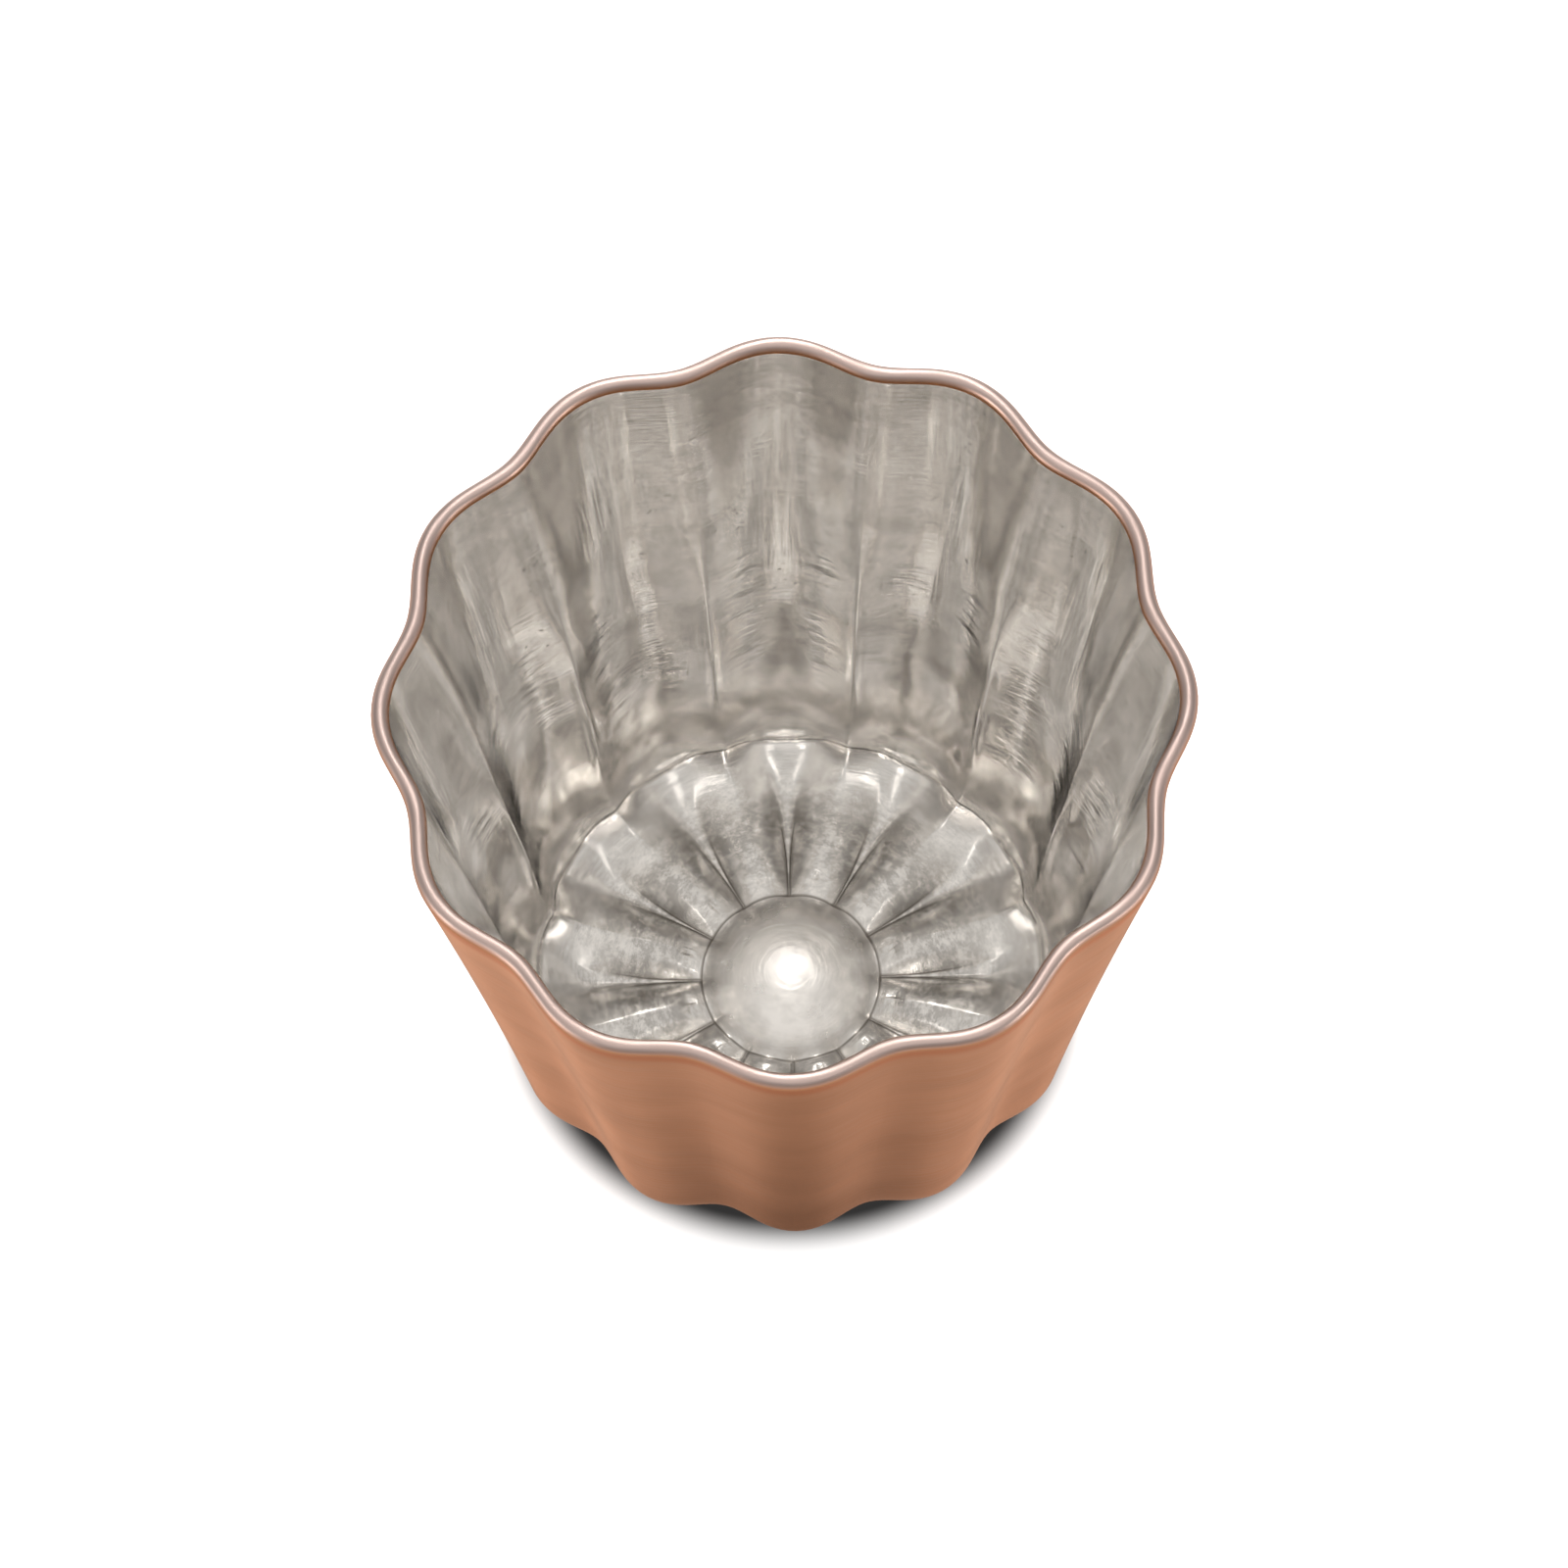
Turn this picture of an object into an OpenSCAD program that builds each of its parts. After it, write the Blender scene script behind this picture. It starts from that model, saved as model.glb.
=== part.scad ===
// Fluted cup mould for small baked cakes: one sheet of copper, tinned inside.
// The wall has rounded lobes with ribs between them. The base has a dome in the middle
// and a petal at the foot of each rib.
// Origin: centre of the base, on the table. +Z goes up to the open rim.
// A ridge of the outside points along +X, and another along -Y.

/* [Cup] */
// Diameter of the rim outside, across opposite ridges
rim_d = 55; // [50:0.5:66]
// Height from the table to the top of the rim
height = 50; // [40:1:70]
// Diameter outside, across opposite ridges, where the straight wall would reach the table
foot_d = 41; // [36:0.5:46]
// How far the middle of the wall lies inside a straight taper
waist = 0.25; // [0:0.05:0.6]
// Thickness of the sheet
wall = 1.2; // [0.8:0.1:1.6]
// Radius outside between the wall and the base
corner_r = 7.5; // [5.5:0.25:8.5]

/* [Flutes] */
// Number of lobes round the cup
lobes = 12; // [8:1:13]
// Depth of the flutes outside at the rim, from ridge to groove
rim_flute = 1.45; // [0.6:0.05:2]
// Depth of the flutes outside at the foot, from ridge to groove
foot_flute = 1.4; // [0.6:0.05:2]
// How far the ridges are flattened from a pure wave
ridge_flat = 0.04; // [0:0.01:0.1]
// Sharpness of the ribs inside at the foot: 0 is a soft wave, 1 a knife edge
rib_sharp = 0.85; // [0:0.05:0.9]
// Height at which the ribs inside have faded to a soft wave
rib_fade = 32; // [20:1:46]

/* [Base] */
// Diameter of the dome in the middle of the base, inside
dome_d = 13; // [9:0.25:15]
// Rise of the dome above its edge
dome_rise = 1.5; // [0.5:0.1:2.5]
// Step up from the edge of the dome to the inner end of a petal
petal_step = 0.35; // [0.1:0.05:0.8]
// Height to which a petal swells above the floor, midway along it
petal_rise = 1; // [0.4:0.1:1.6]
// Width of the crease between two petals, at the dome
crease_w = 0.15; // [0.1:0.05:0.6]
// Width of the trough between two petals, at the corner of the base
trough_w = 4.6; // [3:0.2:5.4]
// How far a petal's underside is narrower than its top, on each side
groove_inset = 0.5; // [0.2:0.1:0.8]
// Angle below level at which a rib ends on the rounded corner
rib_end = 32; // [20:1:45]
// Angle below level at which the trough of a lobe ends on the rounded corner
lobe_end = 44; // [30:1:60]
// How far the foot of a lobe's trough is drawn in above the rounded corner
scoop = 0.35; // [0:0.05:0.6]

/* [Hidden] */

// Points on each half of a lobe, from the middle of its trough to the rib
HALF = 5;
// Point of the half lobe that lies on the edge between trough and petal
EDGE = 2;
// How late the trough between two petals widens
TROUGH_POWER = 2.2;
// How far in from the corner the trough is drawn in
SCOOP_POWER = 4;
// How close to its edge the dome takes up the outline of the petals
DOME_POWER = 4;
// How flat the middle of the dome is, and how steep its edge: 2 is an even curve
DOME_SHAPE = 2.5;
// Steps along the section: shares of the dome, of the base from the dome to the corner,
// and counts of equal steps up the corner, up the wall and over the rim
dome_steps = [0.25, 0.5, 0.7, 0.86, 1];
base_steps = [0.08, 0.2, 0.36, 0.55, 0.75, 0.9, 1];
corner_rows = 4;
wall_rows = 4;
rim_rows = 6;

lobe_angle = 360 / lobes;
rib_at = lobe_angle / 2;
// Mean radii of the wave at the rim and at the foot, and the taper between them
rim_r = rim_d / 2 - rim_flute / 2 + ridge_flat;
foot_r = foot_d / 2 - foot_flute / 2 + ridge_flat;
// Height of the middle of the rounded edge, where the rim is widest
edge_z = height - wall / 2;
taper = atan((rim_r - foot_r) / edge_z);
// Thickness of the tapered wall, measured level
wall_level = wall / cos(taper);
inner_corner_r = corner_r - wall;
// Heights where the rounded corner meets the wall, outside and inside
corner_top = corner_r * (1 - sin(taper));
inner_corner_top = corner_r - inner_corner_r * sin(taper);

dome_r = dome_d / 2;
// Angle above level at which the dome meets its edge
dome_edge = atan(DOME_SHAPE * dome_rise / dome_r);
under_dome_r = dome_r - wall * tan(dome_edge / 2);

// Share of the way from rib (0) to ridge (1) of the wave, at an angle from the ridge
function wave(a) = (1 + cos(lobes * a)) / 2;

// Radius of the outside of the wall at height z
function outside(z, a) =
    let (t = z / edge_z)
    foot_r + (rim_r - foot_r) * t - waist * 4 * t * (1 - t)
    + (foot_flute + (rim_flute - foot_flute) * t) / 2 * cos(lobes * a)
    - ridge_flat * cos(2 * lobes * a);

// How much wider than a wave the hollow of a lobe is inside, which sharpens the ribs
function hollow(z, a) =
    let (x = a / rib_at, fade = max(0, 1 - z / rib_fade))
    rib_sharp * sqrt(fade) * foot_flute * (1 - x * x - wave(a));

// Radius of the axis of the rounded corner
function corner_axis(a) = outside(corner_top, a) - corner_r * cos(taper);

// Angle below level where the rounded corner gives way to the petals
function corner_end(a) = rib_end + (lobe_end - rib_end) * wave(a);

// Height of a floor with a rounded corner of radius r, at distance d from the corner's axis
function floor_z(r, d) = corner_r - (d <= 0 ? r : sqrt(r * r - d * d));

// Radius of the base at share u of the way from the dome's edge to the corner line
function base_r(from, r, u, a) = from + u * (corner_axis(a) + r * cos(corner_end(a)) - from);

// Height of a petal's crest above the bare floor
function petal_lift(u) = petal_step * (1 - u) + petal_rise * 4 * u * (1 - u);

// Half the width of the trough between two petals, as an angle at radius r
function trough_half(u, r, more) =
    (crease_w / 2 + (trough_w - crease_w) / 2 * u ^ TROUGH_POWER + more) / r * 180 / PI;

// Shape across the top, from 0 in the middle of the trough to 1 on the petal's crest:
// a hollow and a round that meet at the trough's edge
function petal_top(a, w) =
    abs(a) < w ? a * a / (w * rib_at)
    : 1 - (rib_at - abs(a)) ^ 2 / ((rib_at - w) * rib_at);
// The same for the underside, which is flat under the trough
function petal_under(a, w) =
    abs(a) <= w ? 0 : (1 - cos(180 * (abs(a) - w) / (rib_at - w))) / 2;

// Height of the dome above its edge, at share t of its radius
function dome(t) = dome_rise * (1 - t ^ DOME_SHAPE);

// Points of the section, as [radius, height], at angle a from the middle of a lobe
function under_dome(t, a, w) =
    [t * under_dome_r, dome(t) + petal_step * petal_under(a, w) * t ^ DOME_POWER];
function under_base(u, a, w) =
    let (r = base_r(under_dome_r, corner_r, u, a))
    [r, floor_z(corner_r, r - corner_axis(a)) + petal_lift(u) * petal_under(a, w)];
function outer_corner(t, a) =
    let (b = corner_end(a) + (taper - corner_end(a)) * t)
    [corner_axis(a) + corner_r * cos(b), corner_r * (1 - sin(b))];
function outer_wall(t, a) =
    let (z = corner_top + (edge_z - corner_top) * t)
    [outside(z, a), z];
function rim(t, a) =
    [outside(edge_z, a) - wall_level / 2 * (1 - cos(180 * t)),
     edge_z + wall / 2 * sin(180 * t)];
function inner_wall(t, a) =
    let (z = edge_z + (inner_corner_top - edge_z) * t)
    [outside(z, a) - wall_level + hollow(z, a), z];
function inner_corner(t, a) =
    let (b = taper + (corner_end(a) - taper) * t)
    let (r = inner_corner_r + hollow(inner_corner_top, a))
    [corner_axis(a) + r * cos(b), corner_r - r * sin(b)];
function base_top(u, a, w) =
    let (hollowed = hollow(inner_corner_top, a) * u ^ SCOOP_POWER)
    let (r = base_r(dome_r, inner_corner_r + hollowed, u, a))
    [r, floor_z(inner_corner_r + hollowed, r - corner_axis(a))
        + petal_lift(u) * petal_top(a, w)
        + scoop * sin(180 * u ^ SCOOP_POWER) * wave(a)];
function dome_top(t, a, w) =
    [t * dome_r, wall + dome(t) + petal_step * petal_top(a, w) * t ^ DOME_POWER];

// Angle of point s of a half lobe, with the trough's edge at angle w
function column(s, w) =
    let (k = abs(s))
    sign(s) * (k <= EDGE ? w * k / EDGE : w + (rib_at - w) * (k - EDGE) / (HALF - EDGE));

// One ring of points round the cup. f gives the section at an angle from its lobe's middle
function ring(w, f) =
    [for (i = [0:lobes - 1], s = [1 - HALF:HALF])
        let (a = column(s, w), p = f(a), turn = i * lobe_angle + a)
        [p[0] * cos(turn), p[0] * sin(turn), p[1]]];

// Widths of the trough for the rings of the top and of the underside
function top_w(u) = trough_half(u, base_r(dome_r, inner_corner_r, u, 0), 0);
function under_w(u) = trough_half(u, base_r(under_dome_r, corner_r, u, 0), groove_inset);
wall_w = rib_at * EDGE / HALF;

function back(list) = [for (i = [len(list) - 1:-1:0]) list[i]];

// All rings, from the middle of the underside, out, up, over the rim and back to the middle
rings = concat(
    [for (t = dome_steps) ring(under_w(0), function (a) under_dome(t, a, under_w(0)))],
    [for (u = base_steps) ring(under_w(u), function (a) under_base(u, a, under_w(u)))],
    [for (k = [1:corner_rows])
        let (t = k / corner_rows)
        ring(under_w(1) + (wall_w - under_w(1)) * t, function (a) outer_corner(t, a))],
    [for (k = [1:wall_rows]) ring(wall_w, function (a) outer_wall(k / wall_rows, a))],
    [for (k = [1:rim_rows]) ring(wall_w, function (a) rim(k / rim_rows, a))],
    [for (k = [1:wall_rows]) ring(wall_w, function (a) inner_wall(k / wall_rows, a))],
    [for (k = [1:corner_rows])
        let (t = k / corner_rows)
        ring(wall_w + (top_w(1) - wall_w) * t, function (a) inner_corner(t, a))],
    [for (u = back(concat([0], base_steps)))
        if (u < 1) ring(top_w(u), function (a) base_top(u, a, top_w(u)))],
    [for (t = back(dome_steps))
        if (t < 1) ring(top_w(0), function (a) dome_top(t, a, top_w(0)))]
);

// A closed skin through the rings, with a point in the middle of the first and last
module skin(rings, first, last) {
    n = len(rings[0]);
    m = len(rings);
    points = concat([first], [for (r = rings) each r], [last]);
    faces = concat(
        [for (j = [0:n - 1]) [0, 1 + j, 1 + (j + 1) % n]],
        [for (i = [0:m - 2], j = [0:n - 1])
            let (a = 1 + i * n + j, b = 1 + i * n + (j + 1) % n)
            each [[a, a + n, b], [b, a + n, b + n]]],
        [for (j = [0:n - 1]) let (a = 1 + (m - 1) * n) [a + j, len(points) - 1, a + (j + 1) % n]]
    );
    polyhedron(points, faces);
}

module mould() {
    color("peru")
        skin(rings, [0, 0, under_dome(0, 0, 1)[1]], [0, 0, dome_top(0, 0, 1)[1]]);
}

mould();
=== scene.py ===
"""A fluted cup mould of sheet copper with a wiped tin lining, on a pale floor.

The mould's solid is replaced by a finer mesh of the same form: the section of the cup is
followed from the middle of the underside, out, up the wall, over the rim and back down to
the dome inside. Lengths are in millimetres up to the mesh, which is in metres.
"""

import math
import bpy
import numpy as np
from mathutils import Matrix, Vector


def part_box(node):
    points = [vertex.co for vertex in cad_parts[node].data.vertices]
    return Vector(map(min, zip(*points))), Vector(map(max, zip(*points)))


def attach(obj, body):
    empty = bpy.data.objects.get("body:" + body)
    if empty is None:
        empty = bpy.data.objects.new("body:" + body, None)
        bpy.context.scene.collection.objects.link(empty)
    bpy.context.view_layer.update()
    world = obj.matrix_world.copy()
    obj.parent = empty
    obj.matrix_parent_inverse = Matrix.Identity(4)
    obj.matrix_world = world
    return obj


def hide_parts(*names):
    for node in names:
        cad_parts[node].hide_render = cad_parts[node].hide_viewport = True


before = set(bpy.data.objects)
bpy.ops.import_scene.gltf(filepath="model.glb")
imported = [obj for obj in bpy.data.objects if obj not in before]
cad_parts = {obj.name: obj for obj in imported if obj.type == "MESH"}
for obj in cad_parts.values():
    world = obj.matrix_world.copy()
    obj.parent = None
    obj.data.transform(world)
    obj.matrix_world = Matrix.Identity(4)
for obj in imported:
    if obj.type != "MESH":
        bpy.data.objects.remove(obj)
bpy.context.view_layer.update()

MM = 0.001

# The cup. The overall size comes from the frame.
LOW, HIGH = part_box("mould")
RIM_D = (HIGH.x - LOW.x) / MM
HEIGHT = (HIGH.z - LOW.z) / MM
FOOT_D = 41
WAIST = 0.25
WALL = 1.2
CORNER_R = 7.5
LOBES = 12
RIM_FLUTE = 1.45
FOOT_FLUTE = 1.4
RIDGE_FLAT = 0.04
RIB_SHARP = 0.85
RIB_FADE = 32
# Roundness of a rib's edge, as an angle on each side of it
RIB_TIP = 0.45

# The base
DOME_D = 13
DOME_RISE = 1.5
PETAL_STEP = 0.35
PETAL_RISE = 1
CREASE_W = 0.15
TROUGH_W = 4.6
TROUGH_POWER = 2.2
GROOVE_INSET = 0.5
RIB_END = 32
LOBE_END = 44
SCOOP = 0.35
SCOOP_POWER = 4
DOME_POWER = 12
DOME_SHAPE = 2.5
# How far apart the petals lie in the random patterns
PETAL_APART = 7.3

# Hand work on the inside of the wall, with the heights between which it fades in and out
DENT = 0.035
BAND = 0.045
WALL_START = 6
WALL_STOP = 46
WALL_FADE = 6
# Middle height and half height of the level bands left by the turning
BAND_BELT = (18, 12)
# Shortest and longest waves on each axis: of the dents and bands, and of the patches in which
# the ripples, streaks and pits lie
DENT_WAVES = [(6, 14)] * 3
BAND_WAVES = [(12, 25), (12, 25), (4.5, 8)]
RIPPLE_WAVES = [(6, 12)] * 3
STREAK_WAVES = [(8, 14)] * 3
PIT_WAVES = [(5, 10)] * 3
# Belts of level ripples on the flanks of the lobes: middle height, half height, strength
RIPPLE_BELTS = ((24, 5, 1), (15, 4, 0.6))
# Middle and half width of a flank, as angles from the middle of the lobe
FLANK = (7, 3)
# Heights at which the upright streaks start, are full and have faded again, the height over
# which they fade, and their half width as an angle from the middle of the lobe
STREAK_START = 22
STREAK_FULL = 30
STREAK_STOP = 47
STREAK_FADE = 5
STREAK_HALF = 5
# Height at which the pits start, and the height over which they become as deep as they get
PIT_START = 3
PIT_GROWTH = 6
# Radius in which the brush coordinate goes round the wall
FLOW_R = 20
# Plane waves in each random field
WAVES = 24
# Height and half width of the fine raised edge along each rib, at the foot, and where it ends
BEAD = 0.15
BEAD_HALF = 0.28
BEAD_TOP = 30
BEAD_FADE = 15
# The line where a lobe's wall meets its trough: its relief, and the place and half width of
# its crest and of the groove beside it, from the end of the rounded corner inward
ARC_BEAD = 0.07
ARC_CREST = (-0.15, 0.22)
ARC_GROOVE = (0.35, 0.25)
# Half width of the painted shade line in a crease, and the radius at which it has faded
CREASE_SHADE_HALF = 0.07
CREASE_SHADE_STOP = 13.5
CREASE_SHADE_FADE = 3
# Width and darkness of the band of painted shade inside the edge of the dome
RECESS = 0.6
RECESS_SHADE = 0.35

# Columns of the mesh on half a lobe's trough and on half a petal
TROUGH_COLUMNS = 6
PETAL_COLUMNS = 9
# How closely the columns of a trough crowd to its edge: 1 spaces them evenly
CROWDING = 1.4
# Equal steps of each section, in the order in which the skin runs
RINGS = {
    "under_dome": 8, "under_base": 16, "outer_corner": 12, "outer_wall": 24, "rim": 14,
    "inner_wall": 84, "inner_corner": 26, "base_top": 60, "dome_top": 24,
}
SECTION = {name: number for number, name in enumerate(RINGS)}

# Worked out, as in the part
RIB_AT = 180 / LOBES
RIM_R = RIM_D / 2 - RIM_FLUTE / 2 + RIDGE_FLAT
FOOT_R = FOOT_D / 2 - FOOT_FLUTE / 2 + RIDGE_FLAT
EDGE_Z = HEIGHT - WALL / 2
TAPER = math.degrees(math.atan((RIM_R - FOOT_R) / EDGE_Z))
WALL_LEVEL = WALL / math.cos(math.radians(TAPER))
INNER_CORNER_R = CORNER_R - WALL
CORNER_TOP = CORNER_R * (1 - math.sin(math.radians(TAPER)))
INNER_CORNER_TOP = CORNER_R - INNER_CORNER_R * math.sin(math.radians(TAPER))
DOME_R = DOME_D / 2
DOME_EDGE = math.atan(DOME_SHAPE * DOME_RISE / DOME_R)
UNDER_DOME_R = DOME_R - WALL * math.tan(DOME_EDGE / 2)


def sin(degrees):
    return np.sin(np.radians(degrees))


def cos(degrees):
    return np.cos(np.radians(degrees))


def wave(a):
    """Share of the way from rib (0) to ridge (1) of the wave, at an angle from the ridge."""
    return (1 + cos(LOBES * a)) / 2


def outside(z, a):
    """Radius of the outside of the wall at height z."""
    t = z / EDGE_Z
    flute = FOOT_FLUTE + (RIM_FLUTE - FOOT_FLUTE) * t
    return (FOOT_R + (RIM_R - FOOT_R) * t - WAIST * 4 * t * (1 - t)
            + flute / 2 * cos(LOBES * a) - RIDGE_FLAT * cos(2 * LOBES * a))


def hollow(z, a):
    """How much wider than a wave the hollow of a lobe is inside, which sharpens the ribs."""
    from_rib = RIB_AT - np.abs(a)
    x = 1 - (np.sqrt(from_rib ** 2 + RIB_TIP ** 2) - RIB_TIP) / RIB_AT
    fade = np.maximum(0, 1 - z / RIB_FADE)
    return RIB_SHARP * np.sqrt(fade) * FOOT_FLUTE * (1 - x * x - wave(a))


def corner_axis(a):
    return outside(CORNER_TOP, a) - CORNER_R * cos(TAPER)


def corner_end(a):
    """Angle below level where the rounded corner gives way to the petals."""
    return RIB_END + (LOBE_END - RIB_END) * wave(a)


def floor_z(r, d):
    """Height of a floor with a rounded corner of radius r, at distance d from its axis."""
    return CORNER_R - np.where(d <= 0, r, np.sqrt(np.maximum(0, r * r - d * d)))


def base_r(start, r, u, a):
    """Radius at share u of the way from the dome's edge to the corner line."""
    return start + u * (corner_axis(a) + r * cos(corner_end(a)) - start)


def petal_lift(u):
    """Height of a petal's crest above the bare floor."""
    return PETAL_STEP * (1 - u) + PETAL_RISE * 4 * u * (1 - u)


def trough_half(u, r, more=0):
    """Half the width of the trough between two petals, as an angle at radius r."""
    return np.degrees((CREASE_W / 2 + (TROUGH_W - CREASE_W) / 2 * u ** TROUGH_POWER + more) / r)


def top_w(u):
    return trough_half(u, base_r(DOME_R, INNER_CORNER_R, u, 0))


def under_w(u):
    return trough_half(u, base_r(UNDER_DOME_R, CORNER_R, u, 0), GROOVE_INSET)


def petal_top(a, w):
    """Shape across, from 0 in the middle of the trough to 1 on the crest of the petal.

    The hollow of the trough and the round of the petal meet at the angle w.
    """
    hollow_part = a * a / (w * RIB_AT)
    round_part = 1 - (RIB_AT - np.abs(a)) ** 2 / ((RIB_AT - w) * RIB_AT)
    return np.where(np.abs(a) < w, hollow_part, round_part)


def petal_under(a, w):
    return (1 - cos(180 * np.clip((np.abs(a) - w) / (RIB_AT - w), 0, 1))) / 2


def dome(t):
    """Height of the dome above its edge, at share t of its radius."""
    return DOME_RISE * (1 - t ** DOME_SHAPE)


# Sections: radius and height of the surface at share t of the way and angle a in the lobe.
# w is the half width of the trough as an angle, which matters on the base alone.
def under_dome(t, a, w):
    return (t * UNDER_DOME_R + 0 * a,
            dome(t) + PETAL_STEP * petal_under(a, w) * t ** DOME_POWER)


def under_base(u, a, w):
    r = base_r(UNDER_DOME_R, CORNER_R, u, a)
    return r, floor_z(CORNER_R, r - corner_axis(a)) + petal_lift(u) * petal_under(a, w)


def outer_corner(t, a, w):
    b = corner_end(a) + (TAPER - corner_end(a)) * t
    return corner_axis(a) + CORNER_R * cos(b), CORNER_R * (1 - sin(b))


def outer_wall(t, a, w):
    z = CORNER_TOP + (EDGE_Z - CORNER_TOP) * t
    return outside(z, a), z + 0 * a


def rim(t, a, w):
    return (outside(EDGE_Z, a) - WALL_LEVEL / 2 * (1 - cos(180 * t)),
            EDGE_Z + WALL / 2 * sin(180 * t) + 0 * a)


def inner_wall(t, a, w):
    z = EDGE_Z + (INNER_CORNER_TOP - EDGE_Z) * t
    return outside(z, a) - WALL_LEVEL + hollow(z, a), z + 0 * a


def inner_corner(t, a, w):
    b = TAPER + (corner_end(a) - TAPER) * t
    r = INNER_CORNER_R + hollow(INNER_CORNER_TOP, a)
    return corner_axis(a) + r * cos(b), CORNER_R - r * sin(b)


def base_top(u, a, w):
    hollowed = hollow(INNER_CORNER_TOP, a) * u ** SCOOP_POWER
    r = base_r(DOME_R, INNER_CORNER_R + hollowed, u, a)
    return r, (floor_z(INNER_CORNER_R + hollowed, r - corner_axis(a))
               + petal_lift(u) * petal_top(a, w)
               + SCOOP * sin(180 * u ** SCOOP_POWER) * wave(a))


def dome_top(t, a, w):
    return (t * DOME_R + 0 * a,
            WALL + dome(t) + PETAL_STEP * petal_top(a, w) * t ** DOME_POWER)


def steps(name, first=1):
    """Equal shares from 0 to 1 as a column, without 0 unless first is 0."""
    n = RINGS[name]
    return np.arange(first, n + 1).reshape(-1, 1) / n


def to_dome_edge(t):
    """Shares from 0 to 1 that lie close together at 1."""
    return sin(90 * t)


def angles(w):
    """Angles of a lobe's columns from its middle, one row for each width w of the trough."""
    k = np.arange(1, TROUGH_COLUMNS + 1) / TROUGH_COLUMNS
    trough = 1 - (1 - k) ** CROWDING
    petal = (1 - cos(180 * np.arange(1, PETAL_COLUMNS + 1) / PETAL_COLUMNS)) / 2
    half = np.concatenate([w * trough, w + (RIB_AT - w) * petal], axis=1)
    return np.concatenate([-half[:, -2::-1], 0 * w, half], axis=1)


def cup_rings():
    """All rings as arrays: angle round the cup, angle in the lobe, radius, height, half
    width of the trough as an angle, section."""
    wall_w = RIB_AT * TROUGH_COLUMNS / (TROUGH_COLUMNS + PETAL_COLUMNS)

    def between(t, start, end):
        return start + (end - start) * t

    dome_t = to_dome_edge(steps("under_dome"))
    base_u = steps("under_base")
    corner_t = steps("outer_corner")
    inner_t = steps("inner_corner")
    down = steps("base_top", 0)[::-1][1:]
    dome_down = to_dome_edge(steps("dome_top")[::-1][1:])
    wall_t, rim_t, inner_wall_t = steps("outer_wall"), steps("rim"), steps("inner_wall")
    parts = [
        (under_dome, dome_t, under_w(0) + 0 * dome_t),
        (under_base, base_u, under_w(base_u)),
        (outer_corner, corner_t, between(corner_t, under_w(1), wall_w)),
        (outer_wall, wall_t, wall_w + 0 * wall_t),
        (rim, rim_t, wall_w + 0 * rim_t),
        (inner_wall, inner_wall_t, wall_w + 0 * inner_wall_t),
        (inner_corner, inner_t, between(inner_t, wall_w, top_w(1))),
        (base_top, down, top_w(down)),
        (dome_top, dome_down, top_w(0) + 0 * dome_down),
    ]
    lobe = np.repeat(np.arange(LOBES), 2 * (TROUGH_COLUMNS + PETAL_COLUMNS))
    turn, within, radius, height, half, section = [], [], [], [], [], []
    for number, (form, t, w) in enumerate(parts):
        a = np.tile(angles(w), LOBES)
        r, z = form(t, a, w)
        turn.append(a + lobe * 2 * RIB_AT)
        within.append(a)
        radius.append(r)
        height.append(z)
        half.append(w + 0 * a)
        section.append(np.full(len(t), number))
    return [np.concatenate(x) for x in (turn, within, radius, height, half, section)]


def make_cup():
    turn, within, radius, height, half, section = cup_rings()
    rings, columns = radius.shape
    points = np.stack([radius * cos(turn), radius * sin(turn), height], axis=-1)
    step = np.zeros((rings, columns))
    step[1:] = np.linalg.norm(np.diff(points, axis=0), axis=-1)
    along = np.cumsum(step.mean(axis=1, keepdims=True), axis=0) + 0 * radius
    from_corner = along - along[section == SECTION["inner_corner"]][-1:]
    inside = section > SECTION["rim"]
    on_base = section >= SECTION["base_top"]
    points += handwork(points, within, from_corner, inside)[..., None] * normals(points)
    first, last = [[0, 0, DOME_RISE]], [[0, 0, WALL + DOME_RISE]]
    skin = np.concatenate([first, points.reshape(-1, 3), last]) * MM

    mesh = bpy.data.meshes.new("mould_body")
    mesh.from_pydata(skin.tolist(), [], cup_faces(rings, columns))
    mesh.shade_smooth()
    mesh.polygons.foreach_set("material_index", cup_slots(section, columns))

    flow = brush_place(points, along).reshape(-1, 3)
    flow = np.concatenate([[[0, 0, 0]], flow, [[0, 0, along.max()]]])
    store(mesh, "flow", "FLOAT_VECTOR", flow)
    store(mesh, "petal", "FLOAT_VECTOR", with_ends(petal_place(turn, radius, on_base)))
    # Ripples and streaks, which carry relief and also mark where a painted sheen and painted shade
    # go, and the pits
    store(mesh, "marks", "FLOAT_VECTOR", with_ends(wiping_marks_and_painted_light(points, within, inside)))
    # Painted shade in the creases and in a band inside the dome's edge
    store(mesh, "crease", "FLOAT", with_ends(creases(within, radius, half, section)))
    store(mesh, "rim", "FLOAT", with_ends(rim_share(section) + 0 * radius))
    return mesh


def cup_faces(rings, columns):
    """Faces of the closed skin: a fan at each end, and squares between its rings."""
    j = np.arange(columns)
    nxt = (j + 1) % columns
    i = np.arange(rings - 1).reshape(-1, 1) * columns + 1
    quads = np.stack([i + j, i + columns + j, i + columns + nxt, i + nxt], axis=-1).reshape(-1, 4)
    top = 1 + (rings - 1) * columns
    start = np.stack([0 * j, 1 + j, 1 + nxt], axis=-1)
    end = np.stack([top + j, 0 * j + top + columns, top + nxt], axis=-1)
    return start.tolist() + quads.tolist() + end.tolist()


def cup_slots(section, columns):
    """Material of each face: 0 for the copper outside, 1 for the rim, 2 for the tin."""
    of_ring = np.where(section > SECTION["rim"], 2, np.where(section == SECTION["rim"], 1, 0))
    return np.repeat(np.concatenate([[0], of_ring[1:], [2]]), columns)


def with_ends(values):
    """Values of the rings as one list, with a zero for the first and for the last point."""
    width = values.shape[2] if values.ndim == 3 else 1
    zero = np.zeros((1, width))
    return np.concatenate([zero, values.reshape(-1, width), zero])


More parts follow.
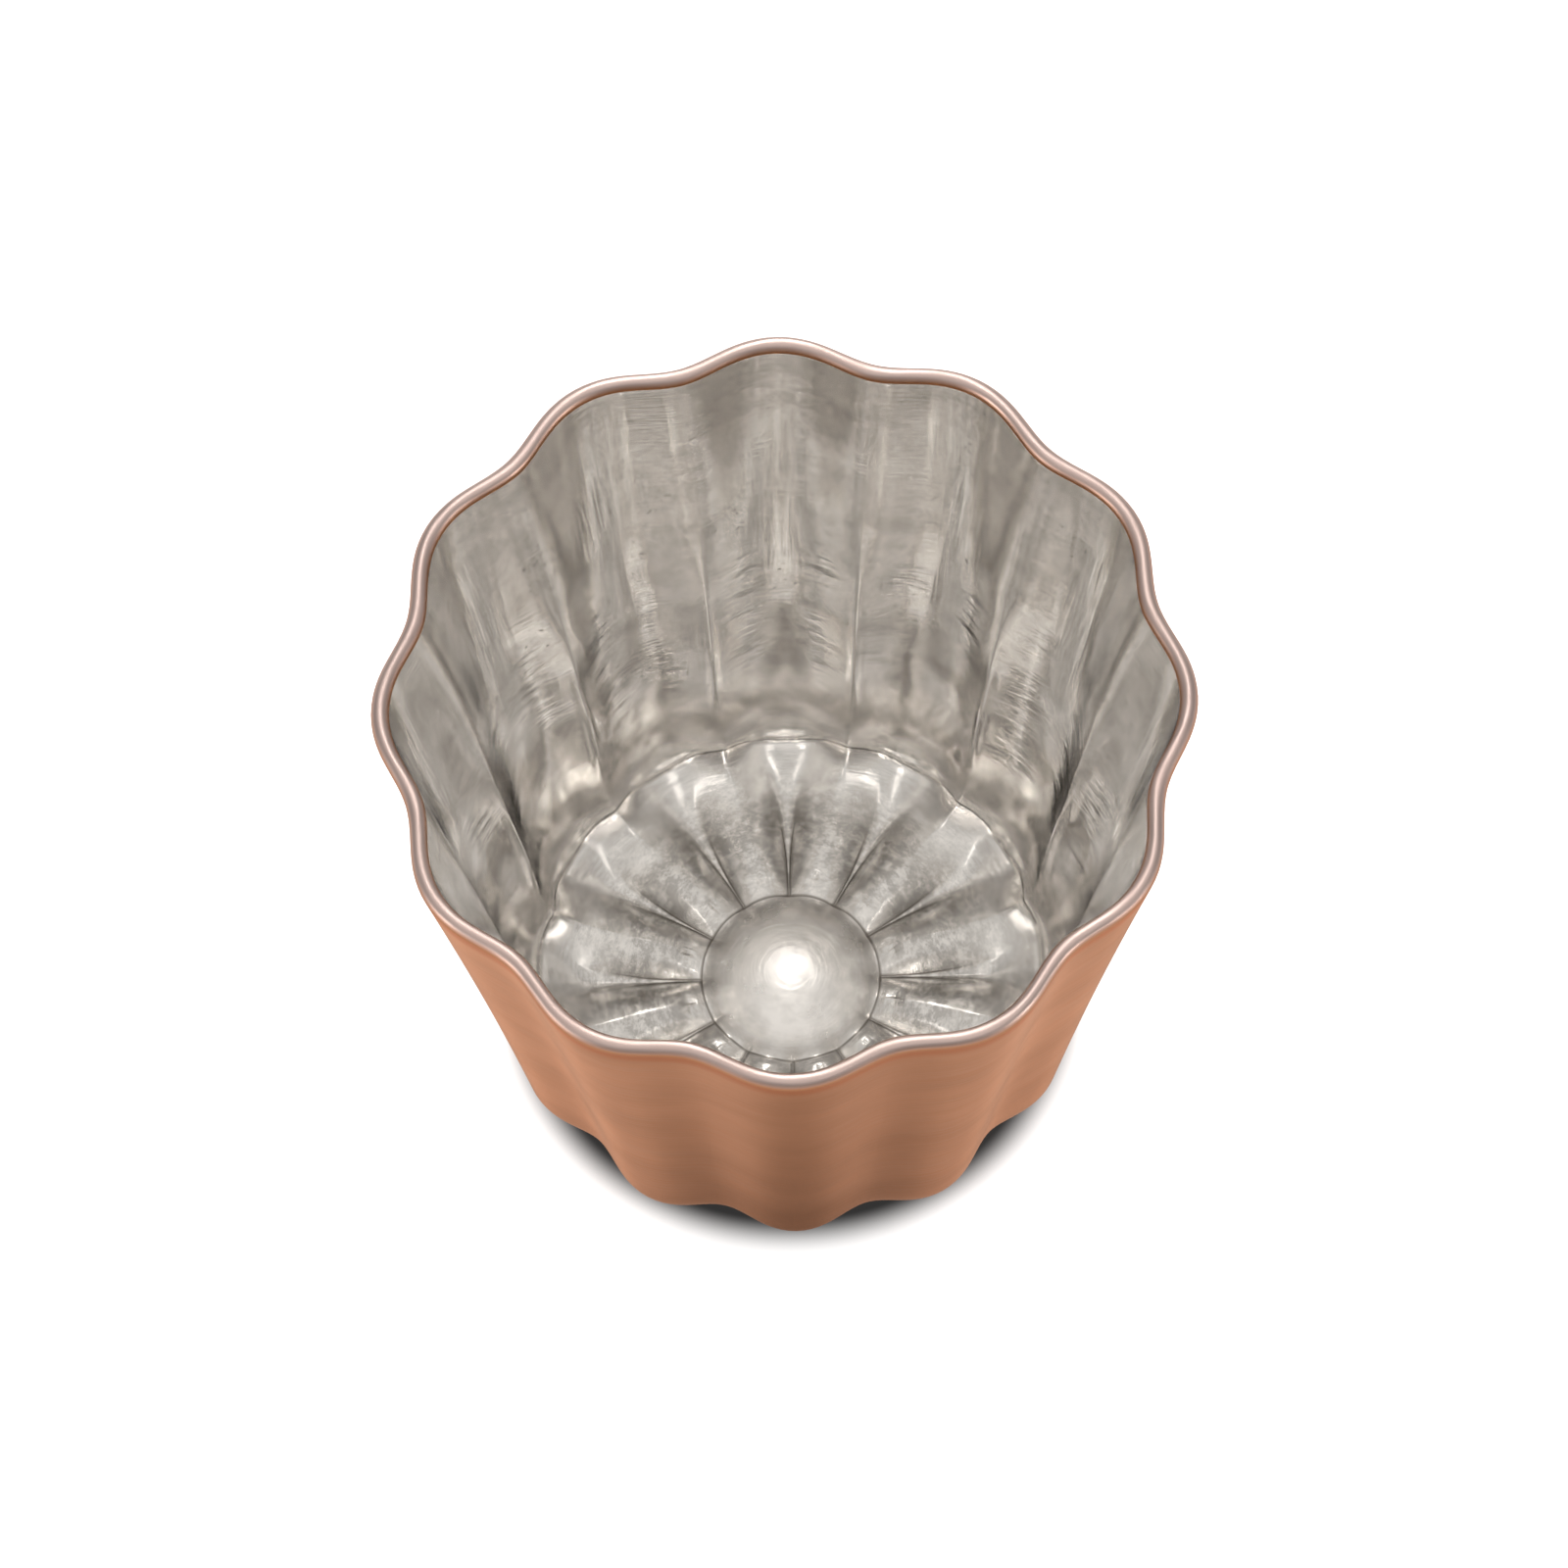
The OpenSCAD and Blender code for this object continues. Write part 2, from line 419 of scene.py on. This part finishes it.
def rim_share(section):
    """Share of the way over the rim for each ring, from 0 outside to 1 inside."""
    at_rim = section == SECTION["rim"]
    return np.where(at_rim, np.cumsum(at_rim) / RINGS["rim"], 0)[:, None]


def petal_place(turn, radius, on_base):
    """Place on a petal: arc from its crest, radius, and a number of its own."""
    number = np.round((turn - RIB_AT) / (2 * RIB_AT))
    arc = np.radians(turn - RIB_AT - number * 2 * RIB_AT) * radius
    place = np.stack([arc, radius, PETAL_APART * number], axis=-1)
    return np.where(on_base[:, None, None], place, 0)


def creases(within, radius, half, section):
    """Painted shade in the creases, at the edges of the troughs and at the edge of the dome, and
    in a band inside the dome's edge.
    """
    arc = np.radians(np.abs(within) - half) * radius
    fade = np.clip((CREASE_SHADE_STOP - radius) / CREASE_SHADE_FADE, 0, 1)
    trough = hump(arc, 0, CREASE_SHADE_HALF) * fade * (section == SECTION["base_top"])[:, None]
    on_base = (section >= SECTION["base_top"])[:, None]
    dome_edge = hump(radius, DOME_R, CREASE_SHADE_HALF) * on_base
    # Painted shade in a band inside the dome's edge
    recess_shade = RECESS_SHADE * hump(radius, DOME_R - RECESS, RECESS) * on_base
    return np.maximum(np.maximum(trough, dome_edge), recess_shade)


def normals(points):
    """Unit normals of the rings, away from the metal."""
    round_the_cup = np.roll(points, -1, axis=1) - np.roll(points, 1, axis=1)
    across = np.cross(round_the_cup, np.gradient(points, axis=0))
    return across / np.linalg.norm(across, axis=-1, keepdims=True)


def waves(place, lengths, seed):
    """A smooth random field. lengths gives the shortest and longest wave on each axis."""
    rng = np.random.default_rng(seed)
    total = 0
    for _ in range(WAVES):
        direction = rng.normal(size=3)
        direction /= np.linalg.norm(direction)
        length = np.array([rng.uniform(*span) for span in lengths])
        phase = rng.uniform(0, 2 * math.pi)
        total = total + np.sin(2 * math.pi * (place * direction / length).sum(axis=-1) + phase)
    return total / math.sqrt(WAVES)


def hump(x, middle, half):
    return np.exp(-((x - middle) / half) ** 2)


def brush_place(points, along):
    """Place on the brushed skin: across the base, and up the wall on a drum of one radius."""
    r = np.maximum(np.linalg.norm(points[..., :2], axis=-1, keepdims=True), FLOW_R)
    return np.concatenate([points[..., :2] * FLOW_R / r, along[..., None]], axis=-1)


# The ripples and streaks are relief, and they also mark a painted sheen. The ripples also mark
# painted shade lines. The pits are the tin's own.
def wiping_marks_and_painted_light(points, within, inside):
    """Strength of the level ripples, of the upright streaks and of the pits at each point."""
    z = points[..., 2]
    patch = np.clip(0.7 + 0.6 * waves(points, RIPPLE_WAVES, 8), 0, 1.6)
    belts = sum(strength * hump(z, middle, half) for middle, half, strength in RIPPLE_BELTS)
    ripples = patch * hump(np.abs(within), *FLANK) * belts
    streaks_and_painted_sheen = np.clip(0.8 + 0.5 * waves(points, STREAK_WAVES, 9), 0, 1.5)
    streaks_and_painted_sheen = streaks_and_painted_sheen * hump(within, 0, STREAK_HALF)
    streaks_and_painted_sheen = streaks_and_painted_sheen * np.clip((z - STREAK_START) / (STREAK_FULL - STREAK_START), 0, 1)
    streaks_and_painted_sheen = streaks_and_painted_sheen * np.clip((STREAK_STOP - z) / STREAK_FADE, 0, 1)
    pits = np.clip(waves(points, PIT_WAVES, 10), 0, 1)
    pits = pits * np.clip((z - PIT_START) / PIT_GROWTH, 0, 1)
    return np.where(inside[:, None, None], np.stack([ripples, streaks_and_painted_sheen, pits], axis=-1), 0)


def handwork(points, within, from_corner, inside):
    """How far the sheet stands off its plain form, in millimetres along its normal."""
    z = points[..., 2]
    wall = np.clip((z - WALL_START) / WALL_FADE, 0, 1) * np.clip((WALL_STOP - z) / WALL_FADE, 0, 1)
    dents = DENT * waves(points, DENT_WAVES, 3)
    bands = BAND * waves(points, BAND_WAVES, 5) * hump(z, *BAND_BELT)
    from_rib = np.radians(RIB_AT - np.abs(within)) * np.hypot(points[..., 0], points[..., 1])
    bead = BEAD * np.exp(-(from_rib / BEAD_HALF) ** 4) * np.clip((BEAD_TOP - z) / BEAD_FADE, 0, 1)
    arc = ARC_BEAD * (hump(from_corner, *ARC_CREST) - hump(from_corner, *ARC_GROOVE))
    return np.where(inside[:, None], (dents + bands + bead) * wall + arc * wave(within), 0)


def store(mesh, name, kind, values):
    layer = mesh.attributes.new(name, kind, "POINT")
    layer.data.foreach_set("vector" if kind == "FLOAT_VECTOR" else "value", np.ravel(values))


class Nodes:
    """Short calls for the nodes of one material."""

    def __init__(self, name):
        self.material = bpy.data.materials.new(name)
        self.material.use_nodes = True
        self.tree = self.material.node_tree
        self.shader = self.tree.nodes["Principled BSDF"]
        self.shader.inputs["Metallic"].default_value = 1
        self.flow = self.attribute("flow", "Vector")
        self.place = self.tree.nodes.new("ShaderNodeTexCoord").outputs["Object"]
        tangent = self.tree.nodes.new("ShaderNodeTangent")
        tangent.direction_type, tangent.axis = "RADIAL", "Z"
        self.link(tangent.outputs["Tangent"], self.shader.inputs["Tangent"])
        self.shader.inputs["Anisotropic Rotation"].default_value = 0.25

    def attribute(self, name, output="Fac"):
        node = self.tree.nodes.new("ShaderNodeAttribute")
        node.attribute_name = name
        return node.outputs[output]

    def link(self, source, target):
        self.tree.links.new(source, target)

    def noise(self, scale, detail=2, roughness=0.5, place=None):
        """Noise on the brush coordinate, with a scale for each axis, in cells a millimetre."""
        mapping = self.tree.nodes.new("ShaderNodeMapping")
        mapping.inputs["Scale"].default_value = scale
        self.link(place or self.flow, mapping.inputs["Vector"])
        texture = self.tree.nodes.new("ShaderNodeTexNoise")
        texture.inputs["Scale"].default_value = 1
        texture.inputs["Detail"].default_value = detail
        texture.inputs["Roughness"].default_value = roughness
        self.link(mapping.outputs["Vector"], texture.inputs["Vector"])
        return texture.outputs["Fac"]

    def spread(self, value, low, high, start, end):
        """value, stretched so that low gives start and high gives end."""
        node = self.tree.nodes.new("ShaderNodeMapRange")
        names = ("From Min", "From Max", "To Min", "To Max")
        for name, number in zip(names, (low, high, start, end)):
            node.inputs[name].default_value = number
        self.link(value, node.inputs["Value"])
        return node.outputs["Result"]

    def smooth(self, value, low, high, start, end):
        """The same with soft ends."""
        result = self.spread(value, low, high, start, end)
        result.node.interpolation_type = "SMOOTHSTEP"
        return result

    def math(self, operation, a, b):
        node = self.tree.nodes.new("ShaderNodeMath")
        node.operation = operation
        for socket, value in zip(node.inputs, (a, b)):
            if isinstance(value, (int, float)):
                socket.default_value = value
            else:
                self.link(value, socket)
        return node.outputs["Value"]

    def colour(self, share, first, second):
        node = self.tree.nodes.new("ShaderNodeMix")
        node.data_type = "RGBA"
        self.link(share, node.inputs["Factor"])
        for socket, value in ((node.inputs[6], first), (node.inputs[7], second)):
            if isinstance(value, tuple):
                socket.default_value = (*value, 1)
            else:
                self.link(value, socket)
        return node.outputs[2]

    def near(self, value, middle, half):
        """1 where value is at middle, falling to 0 at half on both sides."""
        away = self.math("ABSOLUTE", self.math("SUBTRACT", value, middle), 0)
        return self.spread(away, 0, half, 1, 0)

    def parts(self, vector):
        node = self.tree.nodes.new("ShaderNodeSeparateXYZ")
        self.link(vector, node.inputs[0])
        return node.outputs

    def bump(self, height, depth, under=None):
        """Relief of the given depth in millimetres for a height from 0 to 1."""
        node = self.tree.nodes.new("ShaderNodeBump")
        node.inputs["Distance"].default_value = depth * MM
        self.link(height, node.inputs["Height"])
        if under:
            self.link(under, node.inputs["Normal"])
        return node.outputs["Normal"]


# Colours of the tin: clean and stained, dulled on the petals, a painted sheen on the ripples and
# streaks, and a dark for the pits and for painted shade in the creases and between the ripples
TIN = (0.9, 0.88, 0.856)
TIN_STAINED = (0.75, 0.73, 0.705)
TIN_DULL = (0.48, 0.465, 0.445)
TIN_PAINTED_SHEEN = (1, 0.985, 0.965)
TIN_PITS_AND_PAINTED_SHADE = (0.2, 0.18, 0.16)
# Colours of the copper: bright and dull clouds, and the ruddier band under the rim
COPPER = (0.7, 0.33, 0.18)
COPPER_DULL = (0.61, 0.28, 0.148)
COPPER_RED = (0.62, 0.22, 0.1)
# Colours of the rim: along its edges and on top
RIM_EDGE = (0.6, 0.27, 0.13)
RIM_TOP = (0.72, 0.57, 0.53)
# Heights in metres between which the base gives way to the wall
BASE_TOP = (0.003, 0.005)
# Heights in metres over which the tin low down gets smoother, and the copper ruddier
SMOOTHER = (0.002, 0.013)
RUDDIER = (0.0472, 0.0488)


def tin():
    n = Nodes("tin")
    n.shader.inputs["Anisotropic"].default_value = 0.3
    ripple, streak, pit = n.parts(n.attribute("marks", "Vector"))
    petal = n.attribute("petal", "Vector")
    arc, radius, _ = n.parts(petal)
    _, _, z = n.parts(n.place)
    on_base = n.spread(z, *BASE_TOP, 1, 0)
    brushed = n.noise((0.35, 0.35, 4), 4, 0.6)
    wiped = n.noise((0.2, 0.2, 0.5), 2)
    stained = n.noise((0.35, 0.35, 0.35), 4, 0.65)
    rippling = n.noise((0.3, 0.3, 1.1), 3)
    streaking = n.noise((1.6, 1.6, 0.1), 2)

    # Colour: stains, dulled petals, a painted sheen on the ripples and streaks, then the dark of
    # the pits and painted shade in the creases and between the ripples
    colour = n.colour(n.spread(stained, 0.42, 0.68, 0, 1), TIN, TIN_STAINED)
    mottled = n.smooth(n.noise((0.8, 0.8, 0.8), 5, 0.75), 0.36, 0.64, 0.35, 1.3)
    colour = n.colour(n.math("MULTIPLY", n.near(radius, 11, 7), mottled), colour, TIN_DULL)
    # Painted sheen on the upright streaks and on the ripple belts
    streaks_and_painted_sheen = n.math("MULTIPLY", n.smooth(streaking, 0.4, 0.6, 0, 1), streak)
    colour = n.colour(n.math("MAXIMUM", ripple, streaks_and_painted_sheen), colour, TIN_PAINTED_SHEEN)
    pits = n.math("MULTIPLY", n.spread(n.noise((3, 3, 3), 2), 0.66, 0.72, 0, 1), pit)
    # Painted shade: dark lines between the ripples
    painted_ripple_shade = n.math("MULTIPLY", n.smooth(rippling, 0.36, 0.46, 0.8, 0), ripple)
    marks = n.math("MULTIPLY", n.math("MAXIMUM", pits, painted_ripple_shade), 0.6)
    # The dark colour serves the pits, which are the tin's own, and the painted shade in the
    # creases and between the ripples
    pits_and_painted_shade = n.math("MAXIMUM", n.attribute("crease"), marks)
    n.link(n.colour(pits_and_painted_shade, colour, TIN_PITS_AND_PAINTED_SHADE), n.shader.inputs["Base Color"])

    # Roughness: patches, and more of it low down and on the dome
    low_down = n.spread(z, *SMOOTHER, 0.09, 0)
    on_dome = n.math("MULTIPLY", n.spread(radius, 5.5, 6.8, 0.05, 0), on_base)
    patchy = n.spread(n.math("ADD", wiped, stained), 0.75, 1.25, 0.07, 0.15)
    n.link(n.math("ADD", n.math("ADD", low_down, on_dome), patchy), n.shader.inputs["Roughness"])

    # Relief: wiping, brush lines, ripples, streaks, dark marks, and the folds of the petals
    uneven = n.math("MULTIPLY", n.noise((1.1, 1.1, 1.1), 2), on_base)
    relief = n.bump(n.math("ADD", wiped, uneven), 0.01)
    relief = n.bump(brushed, 0.016, relief)
    relief = n.bump(n.math("MULTIPLY", rippling, ripple), 0.3, relief)
    relief = n.bump(n.math("MULTIPLY", streaking, streak), 0.1, relief)
    relief = n.bump(n.math("SUBTRACT", 1, pits_and_painted_shade), 0.015, relief)
    pinch = n.math("MULTIPLY", n.near(radius, 7.8, 0.75), n.near(arc, 0, 1.1))
    folds = n.math("MULTIPLY", n.noise((2.4, 0.5, 1), 1, place=petal), pinch)
    n.link(n.bump(folds, 0.25, relief), n.shader.inputs["Normal"])
    return n.material


def copper():
    n = Nodes("copper")
    n.shader.inputs["Anisotropic"].default_value = 0.85
    n.shader.inputs["Specular Tint"].default_value = (1, 0.93, 0.86, 1)
    brushed = n.noise((0.15, 0.15, 7), 3, 0.6)
    clouded = n.noise((0.12, 0.12, 0.16), 3)
    clouds = n.colour(n.spread(clouded, 0.35, 0.65, 0, 1), COPPER, COPPER_DULL)
    _, _, z = n.parts(n.place)
    under_rim = n.smooth(z, *RUDDIER, 0, 0.8)
    n.link(n.colour(under_rim, clouds, COPPER_RED), n.shader.inputs["Base Color"])
    n.link(n.spread(brushed, 0.3, 0.7, 0.3, 0.42), n.shader.inputs["Roughness"])
    n.link(n.bump(brushed, 0.004), n.shader.inputs["Normal"])
    return n.material


def polished_rim():
    n = Nodes("rim")
    share = n.attribute("rim")
    middle = n.near(share, 0.5, 0.5)
    n.link(n.colour(n.spread(middle, 0.15, 0.6, 0, 1), RIM_EDGE, RIM_TOP),
           n.shader.inputs["Base Color"])
    uneven = n.noise((0.25, 0.25, 0.5), 2)
    n.link(n.spread(uneven, 0.3, 0.7, 0.36, 0.5), n.shader.inputs["Roughness"])
    n.link(n.bump(uneven, 0.12), n.shader.inputs["Normal"])
    return n.material


def add_mould():
    cup = bpy.data.objects.new("mould_body", make_cup())
    bpy.context.collection.objects.link(cup)
    for material in (copper(), polished_rim(), tin()):
        cup.data.materials.append(material)
    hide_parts("mould")
    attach(cup, "root")
    return cup


# The studio
FLOOR_R = 1.5
FLOOR_SIDES = 64
# Brightness of the surroundings straight up and at the horizon
ZENITH = 0.87
HORIZON = 0.3
# Heights on a unit sphere between which the one gives way to the other
ZENITH_SPAN = (0.7, 0.98)
LIGHT_COLOUR = (1, 0.965, 0.92)
# Lamps: name, angle from the vertical, angle round it, distance, width, radiance
LAMPS = (
    ("key", 28.5, 90, 0.5, 0.03, 30),
    ("panel", 32, 88, 0.6, 0.22, 1.6),
    ("back", 50, 90, 0.6, 0.15, 15),
    ("right", 75, -28, 0.6, 0.2, 4.5),
    ("left", 75, -152, 0.6, 0.2, 6),
    ("front_right", 26, -50, 0.6, 0.04, 7),
    ("front_left", 26, -130, 0.6, 0.04, 7),
)
# Paleness of the floor, and the glow on it besides: as the camera and as the metal see it
FLOOR = 0.6
FLOOR_GLOW = 1
FLOOR_IN_METAL = 0.33
# Middle and half widths in millimetres of the shade round the foot, the shares of them between
# which it fades, and what is left of the light in it
SHADE = ((0, 0), (20.4, 19.5))
SHADE_SPAN = (0.93, 1.09)
SHADE_DARKEST = 0.03
# The floor in front, which lies in the mould's own broad shadow: the same values
FRONT_SHADE = ((0, -30), (11, 15))
FRONT_SPAN = (0.3, 1.6)
FRONT_DARKEST = 0.36


def away_from(n, oval):
    """Distance from the middle of an oval on the floor, which is 1 on the oval itself."""
    middle, half = oval
    mapping = n.tree.nodes.new("ShaderNodeMapping")
    mapping.inputs["Location"].default_value = [-m / h for m, h in zip(middle, half)] + [0]
    mapping.inputs["Scale"].default_value = [1 / (h * MM) for h in half] + [0]
    n.link(n.place, mapping.inputs["Vector"])
    length = n.tree.nodes.new("ShaderNodeVectorMath")
    length.operation = "LENGTH"
    n.link(mapping.outputs["Vector"], length.inputs[0])
    return length.outputs["Value"]


def add_floor():
    mesh = bpy.data.meshes.new("floor")
    turns = [2 * math.pi * k / FLOOR_SIDES for k in range(FLOOR_SIDES)]
    ring = [(FLOOR_R * math.cos(turn), FLOOR_R * math.sin(turn), 0) for turn in turns]
    mesh.from_pydata(ring, [], [range(FLOOR_SIDES)])
    floor = bpy.data.objects.new("floor", mesh)
    bpy.context.collection.objects.link(floor)
    n = Nodes("floor")
    n.shader.inputs["Metallic"].default_value = 0
    n.shader.inputs["Specular IOR Level"].default_value = 0
    n.shader.inputs["Roughness"].default_value = 1
    path = n.tree.nodes.new("ShaderNodeLightPath")
    open_sky = n.smooth(away_from(n, SHADE), *SHADE_SPAN, SHADE_DARKEST, 1)
    seen = n.math("MULTIPLY", open_sky, path.outputs["Is Camera Ray"])
    in_front = n.smooth(away_from(n, FRONT_SHADE), *FRONT_SPAN, FRONT_DARKEST, 1)
    mirrored = n.math("MULTIPLY", in_front, path.outputs["Is Glossy Ray"])
    glow = n.math("ADD", n.math("MULTIPLY", seen, FLOOR_GLOW),
                  n.math("MULTIPLY", mirrored, FLOOR_IN_METAL))
    n.link(glow, n.shader.inputs["Emission Strength"])
    n.shader.inputs["Emission Color"].default_value = (1, 1, 1, 1)
    hidden = n.math("MULTIPLY", n.math("SUBTRACT", 1, open_sky), path.outputs["Is Camera Ray"])
    n.link(n.math("MULTIPLY", n.math("MULTIPLY", FLOOR, in_front), n.math("SUBTRACT", 1, hidden)),
           n.shader.inputs["Base Color"])
    mesh.materials.append(n.material)


def add_lights():
    world = bpy.data.worlds.new("studio")
    bpy.context.scene.world = world
    world.use_nodes = True
    tree = world.node_tree
    background = tree.nodes["Background"]
    place = tree.nodes.new("ShaderNodeTexCoord")
    parts = tree.nodes.new("ShaderNodeSeparateXYZ")
    tree.links.new(place.outputs["Generated"], parts.inputs[0])
    mix = tree.nodes.new("ShaderNodeMapRange")
    low, high = ZENITH_SPAN
    for name, number in zip(("From Min", "From Max", "To Min", "To Max"),
                            (low, high, HORIZON, ZENITH)):
        mix.inputs[name].default_value = number
    tree.links.new(parts.outputs["Z"], mix.inputs["Value"])
    tree.links.new(mix.outputs["Result"], background.inputs["Strength"])
    background.inputs["Color"].default_value = (*LIGHT_COLOUR, 1)
    for lamp in LAMPS:
        add_softbox(*lamp)


def add_softbox(name, tilt, azimuth, distance, size, radiance):
    """A round lamp that faces the cup, at an angle from the vertical."""
    lamp = bpy.data.lights.new(name, "AREA")
    lamp.shape = "DISK"
    lamp.size = size
    lamp.color = LIGHT_COLOUR
    lamp.energy = radiance * math.pi * (size / 2) ** 2 * math.pi
    t, a = math.radians(tilt), math.radians(azimuth)
    toward = Vector((math.sin(t) * math.cos(a), math.sin(t) * math.sin(a), math.cos(t)))
    ob = bpy.data.objects.new(name, lamp)
    ob.location = toward * distance
    ob.rotation_euler = toward.to_track_quat("Z", "Y").to_euler()
    bpy.context.collection.objects.link(ob)


# The camera, from a fit to the outline, the rim, the dome and the ribs of the photograph
CAMERA_ELEVATION = 66.19
CAMERA_AZIMUTH = 0.11
CAMERA_DISTANCE = 460.2 * MM
CAMERA_ROLL = -1.40
CAMERA_LENS = 154.9
CAMERA_TARGET = Vector((-0.157, 0, 36.443)) * MM


def add_camera():
    e, turn = math.radians(CAMERA_ELEVATION), math.radians(CAMERA_AZIMUTH)
    back = Vector((math.sin(turn) * math.cos(e), -math.cos(turn) * math.cos(e), math.sin(e)))
    level = Vector((math.cos(turn), math.sin(turn), 0))
    up = back.cross(level)
    roll = math.radians(CAMERA_ROLL)
    right = level * math.cos(roll) + up * math.sin(roll)
    up = back.cross(right)
    place = Matrix((right, up, back)).transposed().to_4x4()
    place.translation = CAMERA_TARGET + back * CAMERA_DISTANCE
    data = bpy.data.cameras.new("camera")
    data.lens = CAMERA_LENS
    camera = bpy.data.objects.new("camera", data)
    camera.matrix_world = place
    bpy.context.collection.objects.link(camera)
    bpy.context.scene.camera = camera


add_camera()
add_mould()
add_floor()
add_lights()
bpy.context.scene.view_settings.view_transform = "Standard"
